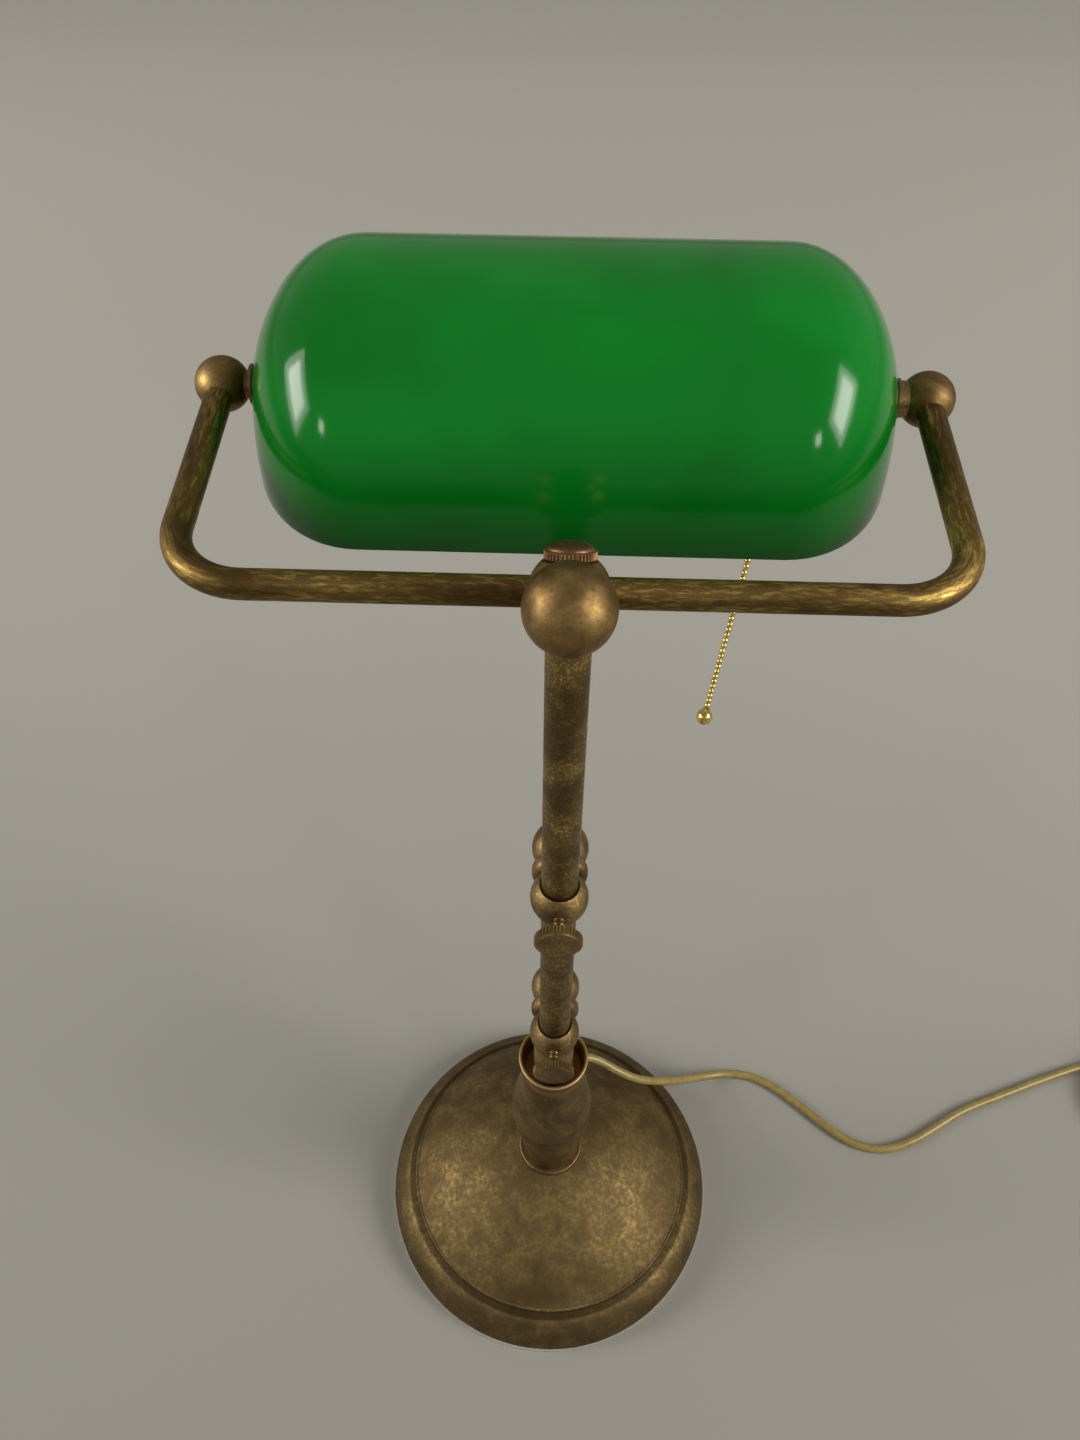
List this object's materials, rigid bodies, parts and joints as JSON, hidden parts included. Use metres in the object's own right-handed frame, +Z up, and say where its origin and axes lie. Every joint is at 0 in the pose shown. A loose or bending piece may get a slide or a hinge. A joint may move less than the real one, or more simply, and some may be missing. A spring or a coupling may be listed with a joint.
{
  "type": "banker desk lamp",
  "caption": "Banker desk lamp with a weighted round base, a height-adjustable stem in clamps, a tilting yoke, a green glass shade and a pull chain.",
  "frame": {"origin": "centre of the base's underside, on the desk", "axes": "+Z up; +Y towards the side that the shade hangs over; +X towards the pull chain and the mains cord"},
  "size_m": [0.5513, 0.2748, 0.5065],
  "materials": {
    "antique_brass": "aged, dark mottled patina",
    "bright_brass": "polished",
    "green_glass": "cased glass, glossy green outside and opal white inside",
    "bulb_glass": "opal white",
    "cast_iron": "rough cast",
    "steel": "zinc plated",
    "lamp_metal": "bright",
    "porcelain": "heat-proof insulator",
    "felt": "pressed felt",
    "black_rubber": "matt",
    "black_plastic": "satin",
    "cord_sheath": "semi-gloss gold PVC"
  },
  "bodies": {
    "base": {"desk_pad": "felt", "base_shell": "antique_brass", "ballast_weight": "cast_iron", "base_washer": "steel", "base_nut": "steel", "centre_tube": "steel", "column": "antique_brass", "cord_bush": "black_rubber", "collar": "antique_brass", "mains_cord": "cord_sheath", "cord_coil": "cord_sheath", "coil_tie": "black_plastic", "plug_tail": "cord_sheath", "plug_sleeve": "black_plastic", "mains_plug": "black_plastic", "plug_pins": "lamp_metal"},
    "clamps": {"lower_clamp": "antique_brass", "upper_clamp": "antique_brass", "guide_rod": "antique_brass"},
    "lower_screw": {"lower_thumbscrew": "antique_brass"},
    "upper_screw": {"upper_thumbscrew": "antique_brass"},
    "stem": {"stem_tube": "antique_brass", "stem_stop_ring": "steel", "stem_head": "antique_brass"},
    "cap_screw": {"head_screw": "antique_brass"},
    "yoke": {"yoke_tube": "antique_brass", "left_side_ball": "antique_brass", "right_side_ball": "antique_brass", "side_flanges": "antique_brass", "neck_collars": "antique_brass", "shade_nuts": "bright_brass", "left_nipple": "steel", "right_nipple": "steel", "lampholder_cap": "bright_brass", "lampholder_shell": "bright_brass", "lampholder_core": "porcelain", "screw_shell": "bright_brass", "contact_stud": "bright_brass", "switch_outlet": "bright_brass", "bulb_cap": "lamp_metal", "bulb_glass": "bulb_glass"},
    "shade": {"shade_glass": "green_glass", "shade_washers": "black_rubber"},
    "pull": {"pull_link": "bright_brass"},
    "chain": {"pull_chain": "bright_brass", "chain_ball": "bright_brass"}
  },
  "joints": [
    {"name": "stem_swivel", "type": "hinge", "parent": "base", "child": "clamps", "pos_m": [0, 0, 0.19], "axis": [0, 0, 1], "range_deg": [-170, 170]},
    {"name": "stem_height", "type": "slide", "parent": "clamps", "child": "stem", "axis": [0, 0, 1], "range_m": [0, 0.08]},
    {"name": "lower_screw_turn", "type": "hinge", "parent": "clamps", "child": "lower_screw", "pos_m": [0, -0.02, 0.19692], "axis": [0, -1, 0], "range_deg": [-180, 0]},
    {"name": "upper_screw_turn", "type": "hinge", "parent": "clamps", "child": "upper_screw", "pos_m": [0, -0.02, 0.31242], "axis": [0, -1, 0], "range_deg": [-180, 0]},
    {"name": "cap_screw_turn", "type": "hinge", "parent": "stem", "child": "cap_screw", "pos_m": [0, 0.02089, 0.45152], "axis": [0, 0.5225, 0.8526], "range_deg": [-180, 0]},
    {"name": "yoke_tilt", "type": "hinge", "parent": "stem", "child": "yoke", "pos_m": [0, 0.02089, 0.45152], "axis": [1, 0, 0], "range_deg": [-35, 40]},
    {"name": "shade_tilt", "type": "hinge", "parent": "yoke", "child": "shade", "pos_m": [0, 0.11921, 0.45753], "axis": [1, 0, 0], "range_deg": [-40, 40]},
    {"name": "chain_pull", "type": "slide", "parent": "yoke", "child": "pull", "axis": [0, 0, -1], "range_m": [0, 0.007], "stiffness_N_per_m": 400},
    {"name": "chain_swing", "type": "hinge", "parent": "pull", "child": "chain", "pos_m": [0.0765, 0.11921, 0.43153], "axis": [1, 0, 0], "range_deg": [-25, 25]}
  ]
}
